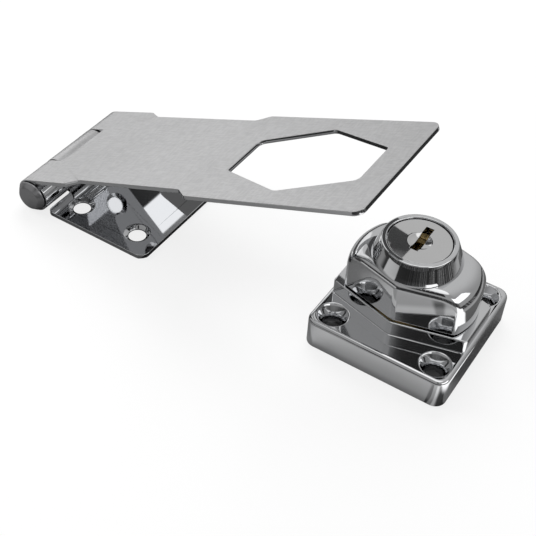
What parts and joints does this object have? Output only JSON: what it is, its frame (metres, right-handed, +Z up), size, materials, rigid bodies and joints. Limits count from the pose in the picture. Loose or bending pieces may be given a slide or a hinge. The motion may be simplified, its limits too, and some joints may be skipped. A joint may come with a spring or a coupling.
{
  "type": "locking hasp",
  "caption": "Swinging slotted strap on a screwed hinge leaf, with a square base whose key-locked turning turret passes through the slot and holds the strap shut.",
  "frame": {"origin": "centre of the lock base's underside, on the mounting surface", "axes": "+X from the hinge towards the lock and along the strap; +Z up from the mounting surface; +Y across, so that a strap turning up turns about -Y"},
  "size_m": [0.1297, 0.0426, 0.0489],
  "materials": {
    "base_chrome": "polished chrome plate on the cast base",
    "turret_chrome": "polished chrome plate on the cast turret",
    "plug_nickel": "turned face, satin nickel",
    "clip_steel": "dark spring steel",
    "bolt_steel": "ground steel",
    "plate_steel": "zinc plated sheet",
    "screw_steel": "zinc plated",
    "pin_steel": "plain ground steel",
    "washer_brass": "plain rolled brass",
    "ball_steel": "polished bearing steel",
    "spring_steel": "drawn wire",
    "hinge_pin_steel": "formed head, satin chrome",
    "strap_satin": "satin chrome plate, fine linen grain",
    "leaf_chrome": "polished chrome plate",
    "wafer_brass": "stamped brass"
  },
  "bodies": {
    "mounted_parts": {"lock_base": "base_chrome", "stop_pin": "pin_steel", "glide_washer": "washer_brass", "detent_ball": "ball_steel", "detent_spring": "spring_steel", "fixed_leaf": "leaf_chrome", "hinge_pin": "hinge_pin_steel"},
    "strap": {"hasp_strap": "strap_satin"},
    "turret": {"turret": "turret_chrome", "retaining_plate": "plate_steel", "plate_screws": "screw_steel"},
    "plug": {"lock_plug": "plug_nickel", "plug_clip": "clip_steel", "wafer_spring_1": "spring_steel", "wafer_spring_2": "spring_steel", "wafer_spring_3": "spring_steel", "wafer_spring_4": "spring_steel", "wafer_spring_5": "spring_steel"},
    "bolt": {"locking_bolt": "bolt_steel"},
    "wafer_1": {"wafer_1": "wafer_brass"},
    "wafer_2": {"wafer_2": "wafer_brass"},
    "wafer_3": {"wafer_3": "wafer_brass"},
    "wafer_4": {"wafer_4": "wafer_brass"},
    "wafer_5": {"wafer_5": "wafer_brass"}
  },
  "joints": [
    {"name": "strap_hinge", "type": "hinge", "parent": "mounted_parts", "child": "strap", "pos_m": [-0.1057, 0, 0.0049], "axis": [0, -1, 0], "range_deg": [-8.7, 158.4]},
    {"name": "turret_turn", "type": "hinge", "parent": "mounted_parts", "child": "turret", "pos_m": [0, 0, 0.0126], "axis": [0, 0, 1], "range_deg": [0, 90]},
    {"name": "plug_turn", "type": "hinge", "parent": "turret", "child": "plug", "pos_m": [-0.0005, 0, 0.0296], "axis": [0, 0, 1], "range_deg": [0, 90]},
    {"name": "bolt_slide", "type": "slide", "parent": "turret", "child": "bolt", "axis": [1, 0, 0], "range_m": [0, 0.0017]},
    {"name": "wafer_1_slide", "type": "slide", "parent": "plug", "child": "wafer_1", "axis": [0, 1, 0], "range_m": [0, 0.0008]},
    {"name": "wafer_2_slide", "type": "slide", "parent": "plug", "child": "wafer_2", "axis": [0, 1, 0], "range_m": [0, 0.0008]},
    {"name": "wafer_3_slide", "type": "slide", "parent": "plug", "child": "wafer_3", "axis": [0, 1, 0], "range_m": [0, 0.0008]},
    {"name": "wafer_4_slide", "type": "slide", "parent": "plug", "child": "wafer_4", "axis": [0, 1, 0], "range_m": [0, 0.0008]},
    {"name": "wafer_5_slide", "type": "slide", "parent": "plug", "child": "wafer_5", "axis": [0, 1, 0], "range_m": [0, 0.0008]}
  ],
  "couplings": [
    {"joint": "bolt_slide", "follows": "plug_turn", "m_per_rad": 0.0010804},
    {"joint": "wafer_2_slide", "follows": "wafer_1_slide", "ratio": 1},
    {"joint": "wafer_3_slide", "follows": "wafer_1_slide", "ratio": 1},
    {"joint": "wafer_4_slide", "follows": "wafer_1_slide", "ratio": 1},
    {"joint": "wafer_5_slide", "follows": "wafer_1_slide", "ratio": 1}
  ]
}
